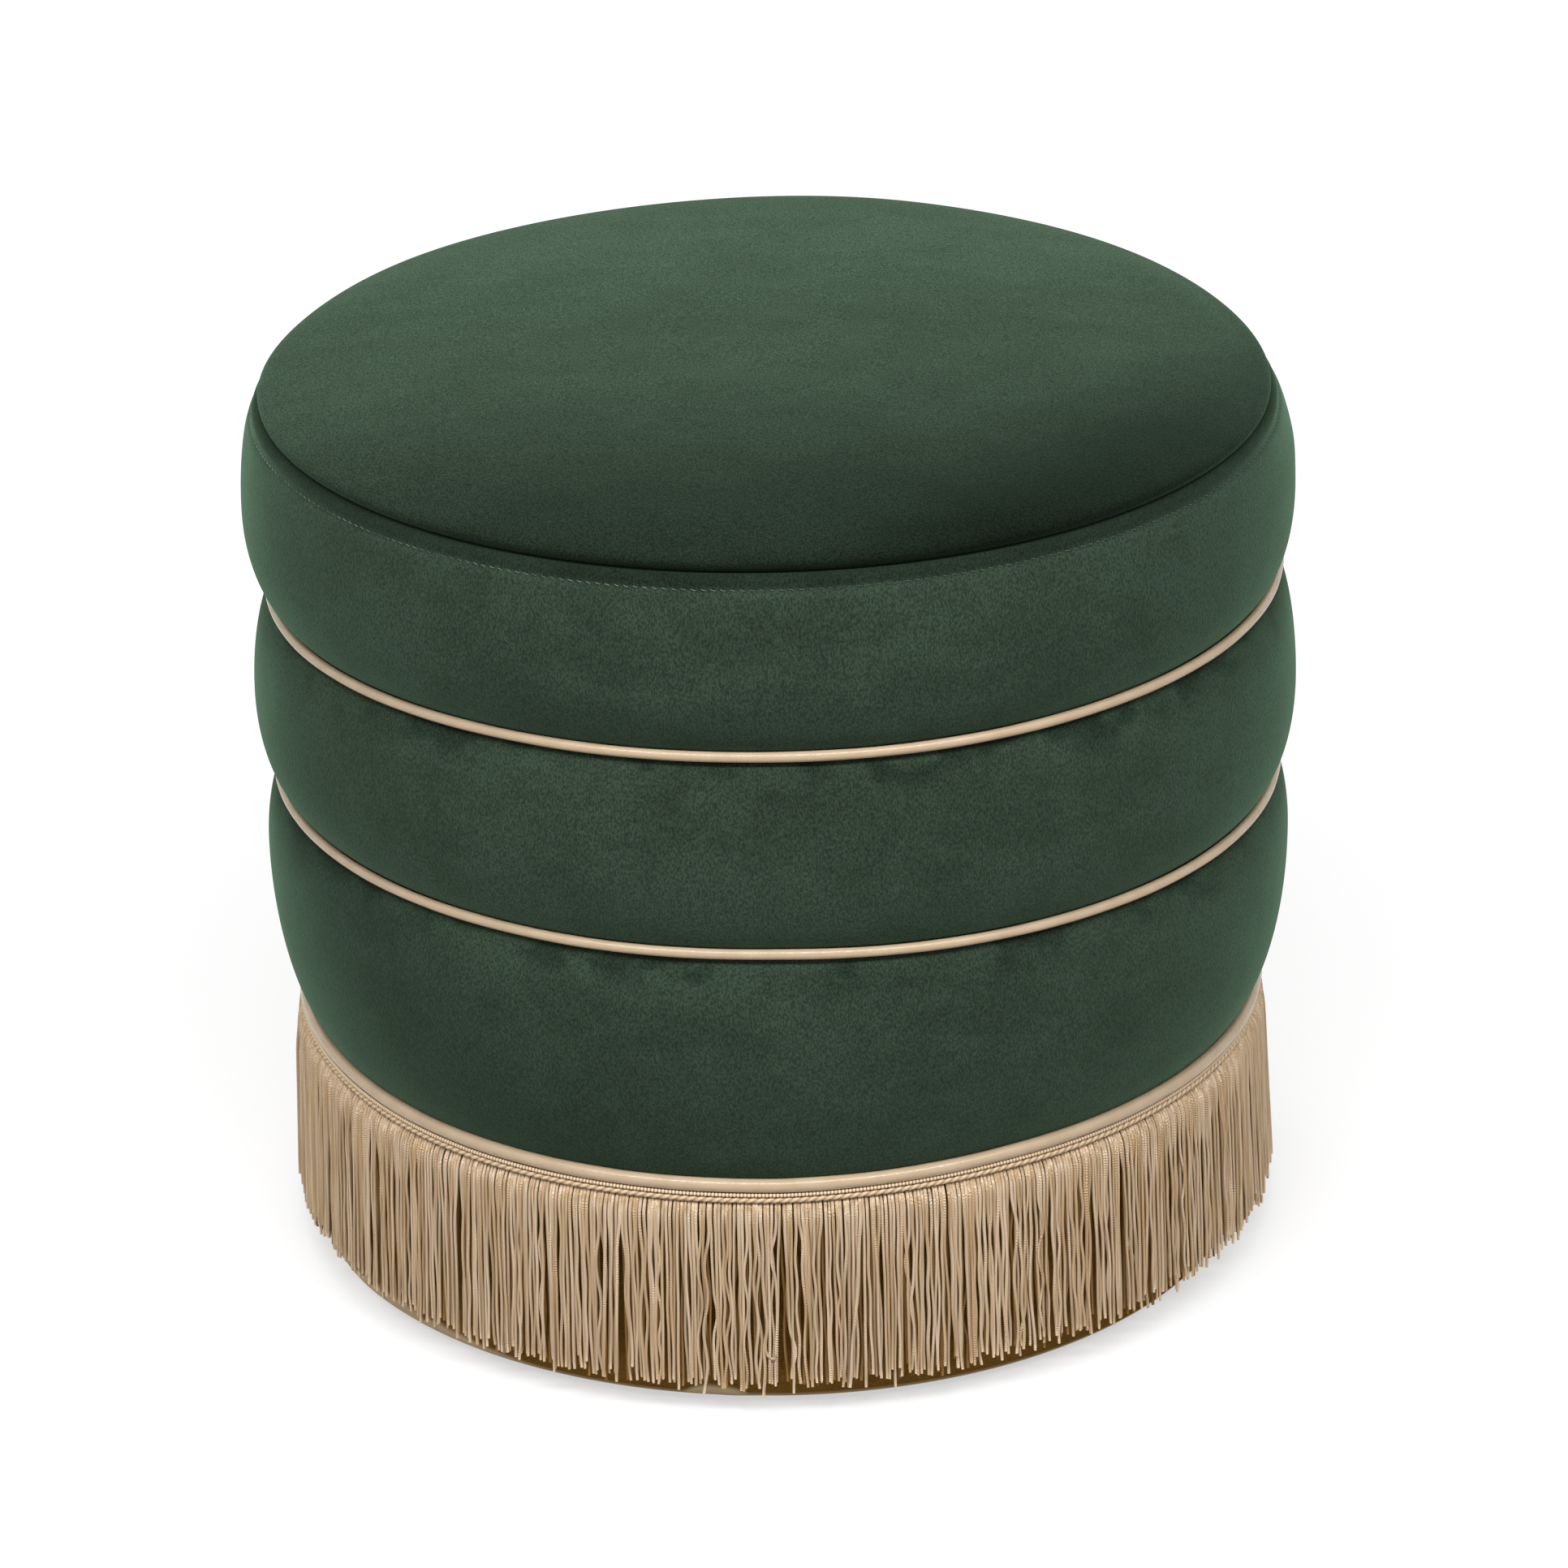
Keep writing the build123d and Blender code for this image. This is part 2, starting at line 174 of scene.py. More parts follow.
plywood = wood("plywood", (0.66, 0.50, 0.31, 1), (0.50, 0.34, 0.18, 1), (0.3, 2.0, 8.0), 0.7)
paint(plywood, "base_board", "seat_board", "lower_hoop", "upper_hoop")
pine = wood("pine", (0.72, 0.54, 0.33, 1), (0.55, 0.36, 0.18, 1), (2.0, 2.0, 0.15), 0.65)
paint(pine, *[f"frame_post_{number}" for number in range(1, 7)])
hardboard = wood("hardboard", (0.30, 0.18, 0.10, 1), (0.22, 0.13, 0.07, 1), (4.0, 4.0, 4.0), 0.6)
paint(hardboard, "drum_wall")

# Screws and nails
# Countersunk wood screws through the boards and hoops, and one nail through each glide.
# All are zinc-plated steel, driven in flush.
steel, shader, place = material("zinc_plated_steel", {"Metallic": 1.0, "Roughness": 0.35})
place.noise(300.0).mix((0.62, 0.60, 0.54, 1), (0.50, 0.48, 0.43, 1)).plug(shader["Base Color"])
paint(steel, "seat_board_screws", "base_board_screws", "hoop_screws", "glide_nails")

# Plinth foam
# Thin sheet of cream foam, glued round the foot of the drum.
# Its lower edge is soft and round, and the lining hides it.
mm = 0.001


def skin(name, grid, made, round_rows=True, round_columns=True, lay=None, caps=False, poles=False):
    """Smooth mesh over grids of points in millimetres, closed where rows or columns run round; lay gives the
    distances along rows and columns for the material, caps close tubes, and poles close the two ends"""
    grid = np.asarray(grid, float)
    if grid.ndim == 3:
        grid = grid[None]
    copies, rows, columns = grid.shape[:3]
    row_numbers = np.arange(rows + round_rows)
    column_numbers = np.arange(columns + round_columns)
    corners = (row_numbers % rows)[:, None] * columns + column_numbers % columns
    ring = [corners[:-1, :-1], corners[1:, :-1], corners[1:, 1:], corners[:-1, 1:]]
    quads = np.stack(ring, axis=-1).reshape(-1, 4)
    shift = np.arange(copies)[:, None, None] * rows * columns
    faces = (quads[None] + shift).reshape(-1, 4).tolist()
    if caps:
        first = np.arange(columns)[::-1]
        last = np.arange(columns) + (rows - 1) * columns
        faces += (np.stack([first, last])[None] + shift).reshape(-1, columns).tolist()
    points = (grid.reshape(-1, 3) * mm).tolist()
    if poles:
        points += (grid[0, :, [0, -1]].mean(axis=1) * mm).tolist()
        first_edges = zip(corners[:-1, 0].tolist(), corners[1:, 0].tolist())
        last_edges = zip(corners[:-1, -1].tolist(), corners[1:, -1].tolist())
        faces += [(two, one, len(points) - 2) for one, two in first_edges]
        faces += [(one, two, len(points) - 1) for one, two in last_edges]
    mesh = bpy.data.meshes.new(name)
    mesh.from_pydata(points, [], faces)
    mesh.shade_smooth()
    if lay:
        along, across = (np.asarray(values, float) * mm for values in lay)
        flat = np.stack(np.meshgrid(along, across, indexing="ij"), axis=-1)
        ring = [flat[:-1, :-1], flat[1:, :-1], flat[1:, 1:], flat[:-1, 1:]]
        spread = np.tile(np.stack(ring, axis=2).reshape(-1, 2), (copies, 1))
        whole = np.zeros((len(mesh.loops), 2))
        whole[: len(spread)] = spread
        mesh.uv_layers.new(name="lay").data.foreach_set("uv", whole.ravel())
    mesh.materials.append(made)
    piece = bpy.data.objects.new(name, mesh)
    bpy.context.scene.collection.objects.link(piece)
    return piece


def turned(profile, count):
    """Grid of a closed profile that is turned round the axis in count steps, first row at the back"""
    profile = np.asarray(profile, float)
    angles = math.pi / 2 + np.arange(count) * 2 * math.pi / count
    rounds = np.stack([np.cos(angles), np.sin(angles)], axis=-1)
    across = rounds[:, None, :] * profile[None, :, :1]
    height = np.broadcast_to(profile[None, :, 1:], (count, len(profile), 1))
    return np.concatenate([across, height], axis=2)


def corner(centre, radius, start, end, steps=6):
    """Points of a rounded corner, from one angle in degrees to another"""
    angles = np.radians(np.linspace(start, end, steps))
    return [(centre[0] + radius * math.cos(a), centre[1] + radius * math.sin(a)) for a in angles]


foam, shader, place = material("cream_foam", {"Roughness": 0.95, "Specular IOR Level": 0.1})
cells = place.noise(900.0, detail=3.0)
cells.mix((0.74, 0.66, 0.45, 1), (0.84, 0.78, 0.58, 1)).plug(shader["Base Color"])
cells.bump(0.0006).plug(shader["Normal"])
pad_inside = 198.4
pad_outside = 202.8
pad_bottom = 4.9
pad_top = 104.2
pad_edge = 4.0
profile = [(pad_inside, pad_top), (pad_inside, pad_bottom)]
profile += corner((pad_outside - pad_edge, pad_bottom + pad_edge), pad_edge, -90, 0)
profile += [(pad_outside, z) for z in np.linspace(20, pad_top, 8)]
plinth_pad = skin("plinth_pad", turned(profile, 180), foam)
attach(plinth_pad, "root")
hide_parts("plinth_foam")

# Plinth lining
# One strip of tan furnishing cloth, 1285 by 132 mm, sewn under the lower piping, stretched down over the
# foam and folded 22 mm in under the base board, where it is stapled. A small pleat takes up the slack at the
# front, and the lower edge is slack on the left. The cloth is coloured dark brown as painted shade under the
# fringe, and its lower edge is painted pale as a highlight, highest at the pleat and on the left.
tan_cloth, shader, place = material("tan_cloth", {"Roughness": 0.9, "Specular IOR Level": 0.0}, uv=True)
weave = place.noise(900.0, (1, 0.35, 1)) * 0.5 + place.noise(900.0, (0.35, 1, 1)) * 0.5
# Painted shade: the tan cloth is coloured dark brown, as it looks in the shade of the fringe
cloth = weave.ramp(0.35, 0.65).mix((0.17, 0.085, 0.016, 1), (0.24, 0.125, 0.03, 1))
body = place.node("ShaderNodeTexCoord", {}, {}, out="Object")
# Painted highlight: the lowest 3 to 6 mm are painted pale, higher at the pleat and on the left, where the
# rounded edge catches the light
painted_rim_rise = 0.004
at_pleat = ((body.axis("X") + 0.031) ** 2).ramp(0.0, 0.000225, painted_rim_rise, 0.0)
at_left = body.axis("X").ramp(-0.16, -0.10, painted_rim_rise, 0.0)
painted_highlight = (body.axis("Z") - (at_pleat + at_left)).ramp(0.0030, 0.0060)
painted_highlight.mix((0.70, 0.54, 0.34, 1), cloth).plug(shader["Base Color"])
weave.bump(0.0003).plug(shader["Normal"])


def lower_seam_rise(x):
    """How far the lower seam was sewn above its level, which is on the right and at the far left"""
    right = np.clip(x / 200, 0, 1)
    left = np.clip(-x / 200, 0, 1)
    return 2.4 * np.clip(right * 2.2, 0, 1) + 3.0 * left**6


def hand_sewn(points):
    """Let the seams run as they were sewn: the lower one rises at both sides, the middle one dips on the
    right and the upper one on the left"""
    z = points[..., 2]
    right = np.clip(points[..., 0] / 200, 0, 1)
    left = np.clip(-points[..., 0] / 200, 0, 1)
    rise = lower_seam_rise(points[..., 0]) * np.interp(z, [15, 95, 107, 216.5], [0, 1, 1, 0])
    dip = 4.6 * right * np.interp(z, [107, 216.5, 304.5], [0, 1, 0])
    dip += 3.2 * left**3 * np.interp(z, [216.5, 304.5, 375], [0, 1, 0])
    points[..., 2] += rise - dip


lining_outside = 204.4
lining_thick = 0.9
edge_centre = (198.8, 9.2)
edge_radius = 5.6
hem = [190.0, 183.0, 176.6]
hem_bottom = edge_centre[1] - edge_radius
outer = [(199.0, 105.7), (203.2, 105.7)]
outer += [(lining_outside, z) for z in np.linspace(104.6, 9.4, 22)]
outer += corner(edge_centre, edge_radius, 0, -90, 9)
outer += [(r, hem_bottom) for r in hem]
inner = [(r, hem_bottom + lining_thick) for r in hem[::-1]]
inner += corner(edge_centre, edge_radius - lining_thick, -90, 0, 9)
inner += [(lining_outside - lining_thick, z) for z in np.linspace(9.4, 104.6, 22)]
inner += [(203.0, 104.8), (199.0, 104.8)]
grid = turned((outer + inner)[::-1], 480)
spread = np.arctan2(grid[:, :, 0], -grid[:, :, 1]) * 204
height = grid[:, :, 2]
low = np.clip((26 - height) / 20, 0, 1)
pleat = np.exp(-(((spread + 22 + 0.4 * height) / 5) ** 2)) - 0.6 * np.exp(-(((spread + 11) / 4) ** 2))
ripple = 0.35 * np.sin(spread / 17 + 2) * np.sin(spread / 41) + 1.4 * pleat * low
out = grid[:, :, :2] / np.linalg.norm(grid[:, :, :2], axis=2, keepdims=True)
ripple *= np.clip((height - 3) / 8, 0, 1) * np.clip((90 - height) / 20, 0, 1)
grid[:, :, :2] += out * ripple[:, :, None]
at_rim = np.clip((np.linalg.norm(grid[:, :, :2], axis=2) - 190) / 8, 0, 1)
slack = np.clip((14 - height) / 9, 0, 1) * at_rim
bulge = 4.5 * slack * np.clip(-grid[:, :, 0] / 180, 0, 1) ** 2
grid[:, :, :2] += out * bulge[:, :, None]
grid[:, :, 2] -= 1.5 * slack
hand_sewn(grid)
around = np.linspace(0, 1285, 481)
across = np.linspace(0, 264, grid.shape[1] + 1)
lining = skin("plinth_lining_cloth", grid, tan_cloth, lay=(around, across))
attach(lining, "root")
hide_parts("plinth_lining")

# Velvet tiers
# Three strips of short-pile green velvet, each sewn to its neighbours along the piped seams and swelling
# over its own foam roll. The pile has a fine grain, soft cloudy patches, and darker patches under the two
# upper seams; it is painted darker as shade on the lip under the seat seam and on the lower left.


def velvet(name, cloud_stretch, row_stretch, grain, sheen, painted_shade_areas, nap_low, nap_high):
    """Dark green pile: cloudy nap, fine grain, a soft sheen at grazing angles, and painted shade where less
    light falls; each painted shade area is a direction, the distances along it at which it starts and is
    full, and its depth"""
    constants = {
        "Roughness": 0.9,
        "Specular IOR Level": 0.0,
        "Sheen Weight": sheen,
        "Sheen Roughness": 0.42,
        "Sheen Tint": (0.32, 0.54, 0.36, 1),
    }
    made, shader, place = material(name, constants)
    cloud = place.noise(11.0, cloud_stretch, 3.0) * 0.5 + place.noise(38.0, cloud_stretch, 3.0) * 0.5
    tips = place.noise(1500.0, row_stretch, 1.0)
    height = place.axis("Z")
    # Painted shade round the seat seam, where the cushion's rim overhangs the lip under it
    seam_shade_depth = 0.55
    seam_shade = height.ramp(0.3765, 0.3820) * height.ramp(0.3845, 0.390, 1.0, 0.0)
    shade = tips.ramp(0.3, 0.7, 1 - grain, 1 + grain) * (1 - seam_shade_depth * seam_shade)
    # Darker in cloudy patches in a band just under each of the two upper seams
    under_seam_depth = 0.42
    under_seam_patches = place.noise(42.0, (1, 1, 1.4), 2.0).ramp(0.47, 0.66)
    for seam in (0.2165, 0.3045):
        under = height.ramp(seam - 0.026, seam - 0.006) * height.ramp(seam - 0.002, seam, 1.0, 0.0)
        shade = shade * (1 - under_seam_depth * under_seam_patches * under)
    # Painted shade, darker along each area's direction where less light falls
    for direction, start, end, depth in painted_shade_areas:
        shade = shade * (1 - depth * place.along(direction).ramp(start, end))
    tint = cloud.ramp(0.38, 0.62).mix(nap_low, nap_high)
    pile = tint.node("ShaderNodeVectorMath", {"operation": "SCALE"}, {0: tint, "Scale": shade})
    pile.plug(shader["Base Color"])
    tips.bump(0.0002, 1.0).plug(shader["Normal"])
    return made


def settle(piece, count, held, pressure, cap, broad):
    """Swell the cover as cloth over its filling: held points stay, and none moves further than cap.
    The wadding under the velvet lets only broad waves show, so finer ones are smoothed out, and the cover
    is cut smaller by its mean swelling, so that the full cover has the drawn profile."""
    last_frame = 20
    start = np.array([vertex.co for vertex in piece.data.vertices])
    group = piece.vertex_groups.new(name="held")
    for number, weight in enumerate(held):
        group.add([number], float(weight), "REPLACE")
    cloth = piece.modifiers.new("cover", "CLOTH")
    cloth.settings.quality = 6
    cloth.settings.mass = 0.25
    cloth.settings.tension_stiffness = 25
    cloth.settings.compression_stiffness = 25
    cloth.settings.shear_stiffness = 12
    cloth.settings.bending_stiffness = 3
    cloth.settings.vertex_group_mass = "held"
    cloth.settings.use_pressure = True
    cloth.settings.uniform_pressure_force = pressure
    cloth.settings.effector_weights.gravity = 0
    cloth.point_cache.frame_start = 1
    cloth.point_cache.frame_end = last_frame
    for number in range(1, last_frame + 1):
        bpy.context.scene.frame_set(number)
    graph = bpy.context.evaluated_depsgraph_get()
    moved = np.array([vertex.co for vertex in piece.evaluated_get(graph).data.vertices])
    piece.modifiers.remove(cloth)
    piece.vertex_groups.clear()
    bpy.context.scene.frame_set(1)
    whole = len(start) // count * count
    out = start[:whole, :2] / np.linalg.norm(start[:whole, :2], axis=1, keepdims=True)
    step = (moved - start)[:whole]
    swell = np.stack([(step[:, :2] * out).sum(axis=1), step[:, 2]], axis=1).reshape(count, -1, 2)
    waves = np.fft.rfft(swell, axis=0)
    waves[broad:] = 0
    waves[0] = 0
    swell = np.fft.irfft(waves, count, axis=0).reshape(-1, 2)
    length = np.linalg.norm(swell, axis=1, keepdims=True)
    swell *= np.minimum(1, cap / np.maximum(length, 1e-9))
    start[:whole, :2] += out * swell[:, :1]
    start[:whole, 2] += swell[:, 1]
    if whole < len(start):
        start[-1, 2] += swell.reshape(count, -1, 2)[:, -1, 1].mean()
    piece.data.vertices.foreach_set("co", start.ravel())
    piece.data.update()


def round_off(piece):
    """Smooth the cover's mesh once, as cloth over wadding"""
    smoothing = piece.modifiers.new("round", "SUBSURF")
    smoothing.levels = 1
    smoothing.render_levels = 1


def soft_waves(angles, seed, waves, depth):
    """Slight unevenness round the piece, as a sum of waves with seeded phases"""
    chance = np.random.default_rng(seed)
    total = np.zeros_like(angles)
    for wave in waves:
        total += chance.normal() * np.sin(wave * angles + chance.uniform(0, 2 * math.pi))
    return depth * total / math.sqrt(len(waves))


def arc(groove, radius, middle, end, steps, pinch=1.0):
    """Quarter ellipse from the widest point of a tier to one of its seams, more drawn in as pinch grows"""
    turns = np.linspace(0, math.pi / 2, steps)
    reach = np.maximum(np.cos(turns), 0) ** pinch
    return list(zip(groove + (radius - groove) * reach, middle + (end - middle) * np.sin(turns)))


side_velvet = velvet(
    "green_velvet_side",
    cloud_stretch=(1, 1, 1.6),
    row_stretch=(1, 1, 0.5),
    grain=0.36,
    sheen=0.5,
    # Painted shade on the left, most on the lower tier, which gets less light
    painted_shade_areas=[((-1, 0, -1), -0.10, 0.0, 0.30)],
    nap_low=(0.028, 0.0434, 0.0285, 1),
    nap_high=(0.0353, 0.0566, 0.038, 1),
)
stitch_height = 378.5
# Each tier: heights of both seams, radii of both grooves, widest radius and its height, pinch below, and
# shift to the right
tiers = {
    "lower": (107.1, 215.9, 205.5, 211.7, 222.8, 181.0, 1.25, 0.7),
    "middle": (217.1, 303.9, 211.7, 211.7, 225.5, 254.5, 1.0, 0.5),
    "upper": (305.1, 385.0, 211.7, 216.5, 225.6, 338.75, 1.0, -0.5),
}


def drawn_in(points):
    """Pull the seat's edge in where it was sewn tighter, on the right and a little on the left"""
    angle = np.degrees(np.arctan2(points[..., 1], points[..., 0]))
    radius = np.hypot(points[..., 0], points[..., 1])
    pull = 5.7 * np.exp(-(((angle - 18) / 30) ** 2)) + 2.2 * np.exp(-(((angle - 158) / 18) ** 2))
    pull *= np.interp(points[..., 2], [355, 384], [0, 1]) * np.interp(radius, [190, 212], [0, 1])
    points[..., :2] *= (1 - pull / np.maximum(radius, 1))[..., None]


tier_pieces = {}
for seed, (name, sizes) in enumerate(tiers.items()):
    bottom, top, bottom_groove, top_groove, radius, widest, pinch, aside = sizes
    outer = arc(bottom_groove, radius, widest, bottom, 15, pinch)[::-1]
    outer += arc(top_groove, radius, widest, top, 15)[1:]
    if name == "upper":
        lip = arc(top_groove, radius, widest, top, 40)
        outer = outer[:20] + [(r, z) for r, z in lip if outer[19][1] + 2 < z < 382.3]
        outer = [(r - 0.9 * math.exp(-(((z - stitch_height) / 1.6) ** 2)), z) for r, z in outer]
        outer += [(218.2, 383.2), (216.4, 383.9), (213.4, 384.2)]
    drum_radius = 198.5
    inner = [(drum_radius, z) for z in np.linspace(top, bottom, 8)]
    profile = outer + inner
    count = 240
    grid = turned(profile, count)
    angles = np.arange(count) * 2 * math.pi / count
    climb = np.array([(z - bottom) / (top - bottom) for r, z in outer])
    share = np.sin(math.pi * np.clip(climb, 0, 1))
    share = np.concatenate([share, np.zeros(len(inner))])
    swell = soft_waves(angles, 11 + seed, range(2, 12), 0.5)
    out = grid[:, :, :2] / np.linalg.norm(grid[:, :, :2], axis=2, keepdims=True)
    grid[:, :, :2] += out * (swell[:, None] * share[None, :])[:, :, None]
    seam_aside = np.interp(grid[0, :, 2], [107, 216, 305, 350], [0, 1, 1, 0])
    grid[:, :, 0] += aside * share + seam_aside * (1 - share)
    hand_sewn(grid)
    drawn_in(grid)
    sides = np.linalg.norm(np.diff(profile + profile[:1], axis=0), axis=1)
    length = np.concatenate([[0], np.cumsum(sides)])
    piece = skin(f"{name}_tier", grid, side_velvet, lay=(np.linspace(0, 1407, count + 1), length))
    held = np.ones(len(profile))
    held[1 : len(outer) - 1] = 1 - np.clip(share[1 : len(outer) - 1] * 3, 0, 1)
    settle(piece, count, np.tile(held, count), 2.0, 0.006, 14)
    round_off(piece)
    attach(piece, "root")
    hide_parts(f"{name}_band", f"{name}_foam_roll")
    tier_pieces[name] = piece

# Top cushion
# Round velvet panel over wadding and a foam pad, sewn to the upper tier with a plain seam.
# Its full rim stands a little over the seam and shades it.
top_velvet = velvet(
    "green_velvet_top",
    cloud_stretch=(0.8, 1.2, 1),
    row_stretch=(1, 0.5, 1),
    grain=0.42,
    sheen=0.36,
    # Painted shade: darker towards the front, most at the front right, where less light falls on the pile
    painted_shade_areas=[
        ((0.1, -1, 0), -0.13, 0.02, 0.22),
        ((0.1, -1, 0), 0.02, 0.19, 0.60),
        ((0.8, -0.6, 0), 0.12, 0.20, 0.52),
    ],
    nap_low=(0.033, 0.0512, 0.034, 1),
    nap_high=(0.0389, 0.0615, 0.0407, 1),
)
handles = [(0.0, 406.6), (148.0, 406.4), (216.6, 396.4), (217.3, 388.0)]
steps = np.linspace(0, 1, 34)[:, None]
curve = sum(
    math.comb(3, k) * (1 - steps) ** (3 - k) * steps**k * np.array(point) for k, point in enumerate(handles)
)
crown = [tuple(point) for point in curve[1:][::-1]]
rim = [(213.4, 384.6), (215.4, 384.9), (216.6, 385.6), (217.2, 386.8)]
under = [(r, 340.4) for r in np.linspace(8, 196, 9)]
wall = [(197.4, z) for z in np.linspace(342, 380, 6)]
wall += [(198.4, 384.4), (206.0, 384.5)]
profile = under + wall + rim + crown
count = 240
grid = turned(profile, count)
angles = np.arange(count) * 2 * math.pi / count
flat = np.array([0.0] * (len(under) + len(wall)) + [0.4] * len(rim) + [1.0] * len(crown))
reach = np.minimum(1, np.array([r for r, z in profile]) / 216)
uneven = soft_waves(angles, 21, range(2, 9), 0.5)
grid[:, :, 2] += uneven[:, None] * (flat * reach * np.sin(math.pi * reach))[None, :]
sunk = 4.0 * np.clip(grid[:, :, 0] / 213, 0, 1) ** 3
full = 1.8 * np.exp(-(((grid[:, :, 0] - 25) / 90) ** 2)) * np.clip(grid[:, :, 1] / 200, 0, 1) ** 2
inside = flat * np.clip((217.5 - np.array([r for r, z in profile])) / 9, 0, 1)
grid[:, :, 2] += (full - sunk) * inside
drawn_in(grid)
cushion = skin("top_cushion", grid, top_velvet, round_columns=False, poles=True)
held = np.concatenate([np.tile((flat < 0.9).astype(float), count), [1, 0]])
settle(cushion, count, held, 0.8, 0.005, 9)
round_off(cushion)
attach(cushion, "root")
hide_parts("top_panel", "seat_wadding", "seat_foam")

# Topstitching
# One row of grey-green thread, 8.5 mm under the seat seam, that holds the seam allowance down.
# It rides in a slight valley of the velvet, at about six and a half stitches to the inch.
thread, shader, place = material("green_thread", {"Roughness": 0.45, "Specular IOR Level": 0.5})
# Painted glints: paler in patches and most on the left, where the light catches the thread
painted_highlight = place.noise(40.0).ramp(0.3, 0.65) * place.axis("X").ramp(-0.05, 0.03, 1.0, 0.35)
painted_highlight.mix((0.02, 0.034, 0.024, 1), (0.10, 0.14, 0.11, 1)).plug(shader["Base Color"])
graph = bpy.context.evaluated_depsgraph_get()
surface = BVHTree.FromObject(tier_pieces["upper"], graph)
count = 352
thread_radius = 0.22
half_stitch = 1.15 / 221.0
stitches = np.zeros((count, 7, 6, 3))
for number in range(count):
    middle = number * 2 * math.pi / count
    for row, step in enumerate(np.linspace(-1, 1, 7)):
        angle = middle + step * half_stitch
        height = stitch_height - 0.28 * step + 0.05 * math.sin(9.0 * number)
        outward = Vector((math.cos(angle), math.sin(angle), 0))
        start = outward * 0.26 + Vector((0, 0, height * mm))
        hit = surface.ray_cast(start, -outward)[0]
        reach = math.hypot(hit.x, hit.y) / mm + thread_radius - 0.45 * step**4
        for side in range(6):
            turn = -side * math.pi / 3
            thick = thread_radius * (1 - 0.5 * step**6)
            r = reach + thick * math.cos(turn)
            z = height + thick * math.sin(turn)
            stitches[number, row, side] = (r * math.cos(angle), r * math.sin(angle), z)
stitching = skin("topstitching", stitches, thread, round_rows=False, caps=True)
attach(stitching, "root")

# Piping
# Beige leathercloth cut on the bias, wrapped round a filler cord and sewn into each seam: two cords of 4.4 mm
# between the tiers and one of 6 mm under the lower tier, each joined at the back.
constants = {"Specular IOR Level": 0.25, "Coat Roughness": 0.25}
leathercloth, shader, place = material("beige_leathercloth", constants, uv=True)
slant = place.node("ShaderNodeMapping", {}, {"Vector": place, "Rotation": (0, 0, 0.7)})
grain = slant.noise(1400.0, (1, 0.3, 1), 2.0)
tone = place.noise(60.0).ramp(0.3, 0.7)
tone.mix((0.50, 0.368, 0.238, 1), (0.555, 0.418, 0.278, 1)).plug(shader["Base Color"])
grain.ramp(0.3, 0.7, 0.25, 0.4).plug(shader["Roughness"])
grain.ramp(0.4, 0.65).plug(shader["Coat Weight"])
grain.bump(0.0001, 1.0).plug(shader["Normal"])


def tube(centres, radii, sides):
    """Grids of round tubes along paths of points; centres has the shape (copies, rings, 3) and radii
    (copies, rings)"""
    along = np.gradient(centres, axis=1)
    along /= np.linalg.norm(along, axis=2, keepdims=True)
    out = centres * np.array([1, 1, 0])
    out /= np.linalg.norm(out, axis=2, keepdims=True)
    across = np.cross(along, out)
    across /= np.linalg.norm(across, axis=2, keepdims=True)
    out = np.cross(across, along)
    turns = np.arange(sides) * 2 * math.pi / sides
    ring = np.cos(turns)[:, None] * out[:, :, None] - np.sin(turns)[:, None] * across[:, :, None]
    return centres[:, :, None] + radii[:, :, None, None] * ring


def hoop(centre, height, radius, aside, count, sides, made, name):
    """Closed tube round the piece, with a slight unevenness of its line and thickness"""
    angles = math.pi / 2 + np.arange(count) * 2 * math.pi / count
    lift = soft_waves(angles, 41, range(3, 16), 0.12)
    line = centre + soft_waves(angles, 42, range(2, 12), 0.10)
    path = np.stack([line * np.cos(angles), line * np.sin(angles), height + lift], axis=-1)
    wide = np.concatenate([path[-2:], path, path[:2]])[None]
    thick = radius * (1 + soft_waves(np.arange(count + 4) / 9.0, 43, [1, 2.3, 3.1], 0.012))
    grid = tube(wide, thick[None], sides)[:, 2:-2]
    grid[..., 0] += aside
    hand_sewn(grid)
    along = np.linspace(0, 2 * math.pi * centre, count + 1)
    around = np.linspace(0, 2 * math.pi * radius, sides + 1)
    return skin(name, grid, made, lay=(along, around))


# Radius of the ring and its height, radius of the cord, and shift to the right
pipings = {
    "lower": (209.5, 106.6, 3.0, 0.3),
    "middle": (217.0, 216.5, 2.2, 1.0),
    "upper": (217.2, 304.5, 2.2, 1.0),
}
for name, (centre, height, radius, aside) in pipings.items():
    piping = hoop(centre, height, radius, aside, 480, 14, leathercloth, f"{name}_piping_cover")
    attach(piping, "root")
    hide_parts(f"{name}_piping", f"{name}_piping_cord")

# Fringe heading
# The fringe's woven top edge: a row of chain stitches under the piping, then a twisted cord that is couched
# along the roots of the fringe.
constants = {"Roughness": 0.6, "Specular IOR Level": 0.1}
heading_yarn, shader, place = material("heading_yarn", constants, uv=True)
# Painted shade: the thinnest parts of the cords, between plies and between beads, are darker
groove = place.axis("Y")
groove.ramp(0.0, 0.0005).mix((0.38, 0.25, 0.13, 1), (0.84, 0.66, 0.46, 1)).plug(shader["Base Color"])


